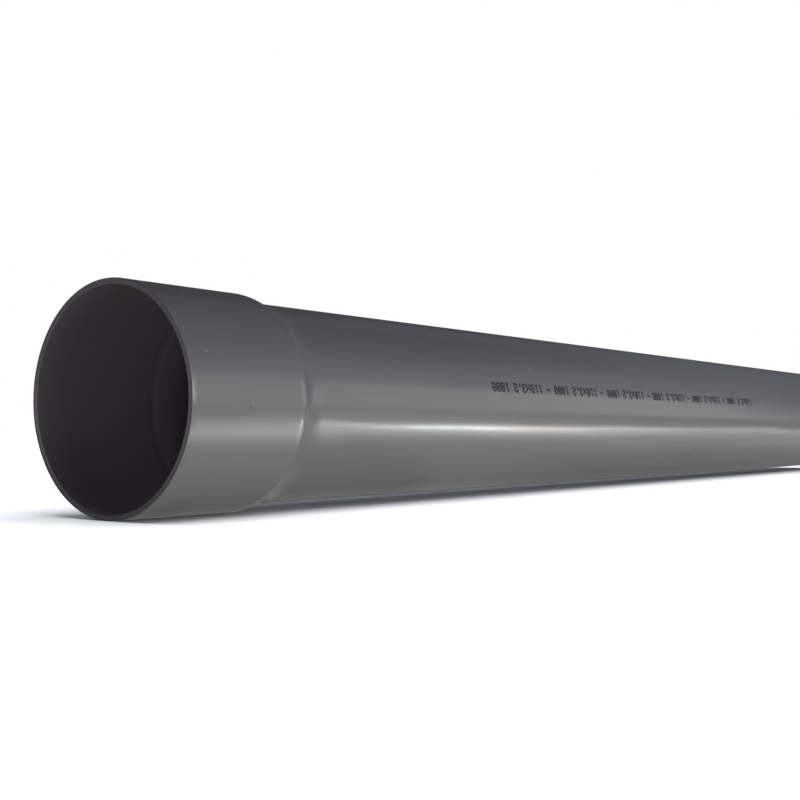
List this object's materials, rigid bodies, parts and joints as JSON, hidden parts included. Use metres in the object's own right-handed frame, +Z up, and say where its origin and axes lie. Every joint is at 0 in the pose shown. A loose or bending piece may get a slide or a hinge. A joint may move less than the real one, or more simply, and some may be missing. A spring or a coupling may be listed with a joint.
{
  "type": "conduit pipe",
  "caption": "Length of rigid grey PVC duct pipe with a plain push-fit socket formed on one end and a plain spigot at the other.",
  "frame": {"origin": "centre of the socket's mouth, on the pipe's axis", "axes": "+X along the pipe from the socket's mouth towards the spigot's end, +Z up as the pipe lies"},
  "size_m": [1.077, 0.1176, 0.1176],
  "materials": {
    "pvc": "smooth extruded rigid PVC, dark grey, satin gloss"
  },
  "bodies": {
    "root": {"pipe": "pvc"}
  },
  "joints": []
}
